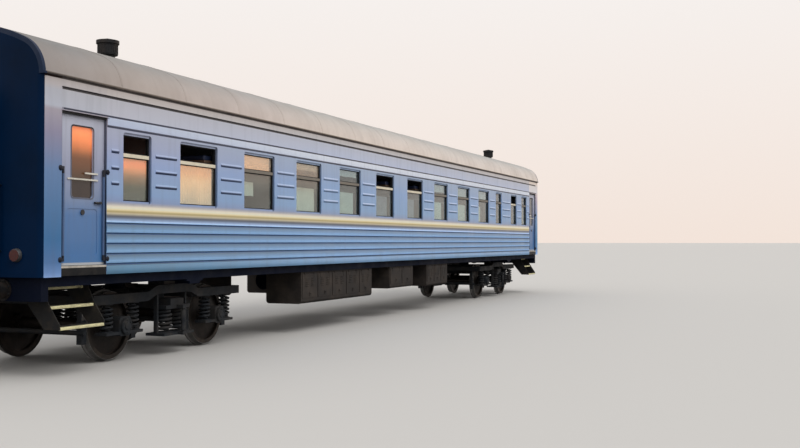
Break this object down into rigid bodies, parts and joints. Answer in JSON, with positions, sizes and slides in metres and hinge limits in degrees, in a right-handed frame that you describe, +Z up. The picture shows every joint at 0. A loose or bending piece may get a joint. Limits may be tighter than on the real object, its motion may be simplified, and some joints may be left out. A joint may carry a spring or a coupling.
{
  "type": "passenger sleeping coach",
  "caption": "Railway sleeping coach with a corrugated body, arched roof, compartment windows and end doors, on two swivelling two-axle bogies.",
  "frame": {"origin": "middle of the footprint, at the level of the flange tips", "axes": "+X along the coach to end b, +Y towards the corridor side, +Z up"},
  "size_m": [24.54, 3.104, 4.778],
  "materials": {
    "body_blue": "satin",
    "roof_grey": "matt, weathered",
    "end_blue": "satin",
    "frame_grey": "satin",
    "glass": "clear",
    "door_blue": "satin",
    "underframe_black": "matt, dusty",
    "box_brown": "matt, dusty",
    "cast": "rough",
    "wheel_steel": "worn",
    "spring_steel": "satin",
    "rubber": "matt",
    "rail_steel": "satin",
    "step_paint": "worn",
    "inner_panel": "satin laminate",
    "floor_lino": "satin",
    "berth_wood": "satin",
    "cushion": "satin",
    "curtain": "matt",
    "lamp_red": "gloss"
  },
  "bodies": {
    "coach": {"air_gear": "underframe_black", "battery_box": "box_brown", "berth_cushions": "cushion", "berth_frames": "berth_wood", "buffers": "cast", "bulkheads": "inner_panel", "ceiling": "inner_panel", "corridor_wall": "inner_panel", "couplers": "cast", "curtain_rods": "rail_steel", "curtains": "curtain", "door_hinges": "rail_steel", "door_sills": "body_blue", "end_fittings": "underframe_black", "end_wall_a": "end_blue", "end_wall_b": "end_blue", "entry_steps": "step_paint", "equipment_boxes": "box_brown", "floor_deck": "floor_lino", "gangway_plates": "rail_steel", "gangway_portals": "end_blue", "gangway_rolls": "rubber", "handrails": "rail_steel", "partitions": "inner_panel", "roof": "roof_grey", "roof_vents": "underframe_black", "side_wall_compartment": "body_blue", "side_wall_corridor": "body_blue", "tables": "berth_wood", "tail_lamps": "lamp_red", "underframe": "underframe_black", "window_frames": "frame_grey", "window_glass": "glass"},
    "bogie_a": {"axleboxes_a": "cast", "bogie_bolster_a": "underframe_black", "bogie_frame_a": "underframe_black", "bogie_springs_a": "spring_steel", "brake_gear_a": "cast"},
    "wheelset_a_outer": {"wheelset_a_outer": "wheel_steel"},
    "wheelset_a_inner": {"wheelset_a_inner": "wheel_steel"},
    "door_a_compartment": {"side_door_a_compartment": "door_blue", "side_door_glass_a_compartment": "glass"},
    "door_a_corridor": {"side_door_a_corridor": "door_blue", "side_door_glass_a_corridor": "glass"},
    "end_door_a": {"end_door_a": "door_blue", "end_door_glass_a": "glass"},
    "bogie_b": {"axleboxes_b": "cast", "bogie_bolster_b": "underframe_black", "bogie_frame_b": "underframe_black", "bogie_springs_b": "spring_steel", "brake_gear_b": "cast"},
    "wheelset_b_outer": {"wheelset_b_outer": "wheel_steel"},
    "wheelset_b_inner": {"wheelset_b_inner": "wheel_steel"},
    "door_b_compartment": {"side_door_b_compartment": "door_blue", "side_door_glass_b_compartment": "glass"},
    "door_b_corridor": {"side_door_b_corridor": "door_blue", "side_door_glass_b_corridor": "glass"},
    "end_door_b": {"end_door_b": "door_blue", "end_door_glass_b": "glass"}
  },
  "joints": [
    {"name": "bogie_a_swivel", "type": "hinge", "parent": "coach", "child": "bogie_a", "pos_m": [-8.5, 0, 0.893], "axis": [0, 0, 1], "range_deg": [-4, 4]},
    {"name": "bogie_b_swivel", "type": "hinge", "parent": "coach", "child": "bogie_b", "pos_m": [8.5, 0, 0.893], "axis": [0, 0, 1], "range_deg": [-4, 4]},
    {"name": "wheelset_a_outer_roll", "type": "hinge", "parent": "bogie_a", "child": "wheelset_a_outer", "pos_m": [-9.7, 0, 0.503], "axis": [0, 1, 0], "continuous": true},
    {"name": "wheelset_a_inner_roll", "type": "hinge", "parent": "bogie_a", "child": "wheelset_a_inner", "pos_m": [-7.3, 0, 0.503], "axis": [0, 1, 0], "continuous": true},
    {"name": "wheelset_b_outer_roll", "type": "hinge", "parent": "bogie_b", "child": "wheelset_b_outer", "pos_m": [9.7, 0, 0.503], "axis": [0, 1, 0], "continuous": true},
    {"name": "wheelset_b_inner_roll", "type": "hinge", "parent": "bogie_b", "child": "wheelset_b_inner", "pos_m": [7.3, 0, 0.503], "axis": [0, 1, 0], "continuous": true},
    {"name": "door_a_compartment_hinge", "type": "hinge", "parent": "coach", "child": "door_a_compartment", "pos_m": [-11.463, -1.436, 2.273], "axis": [0, 0, 1], "range_deg": [0, 90]},
    {"name": "door_a_corridor_hinge", "type": "hinge", "parent": "coach", "child": "door_a_corridor", "pos_m": [-11.463, 1.436, 2.273], "axis": [0, 0, -1], "range_deg": [0, 90]},
    {"name": "end_door_a_hinge", "type": "hinge", "parent": "coach", "child": "end_door_a", "pos_m": [-11.686, 0.393, 2.273], "axis": [0, 0, 1], "range_deg": [0, 90]},
    {"name": "door_b_compartment_hinge", "type": "hinge", "parent": "coach", "child": "door_b_compartment", "pos_m": [11.463, -1.436, 2.273], "axis": [0, 0, -1], "range_deg": [0, 90]},
    {"name": "door_b_corridor_hinge", "type": "hinge", "parent": "coach", "child": "door_b_corridor", "pos_m": [11.463, 1.436, 2.273], "axis": [0, 0, 1], "range_deg": [0, 90]},
    {"name": "end_door_b_hinge", "type": "hinge", "parent": "coach", "child": "end_door_b", "pos_m": [11.686, 0.393, 2.273], "axis": [0, 0, -1], "range_deg": [0, 90]}
  ]
}
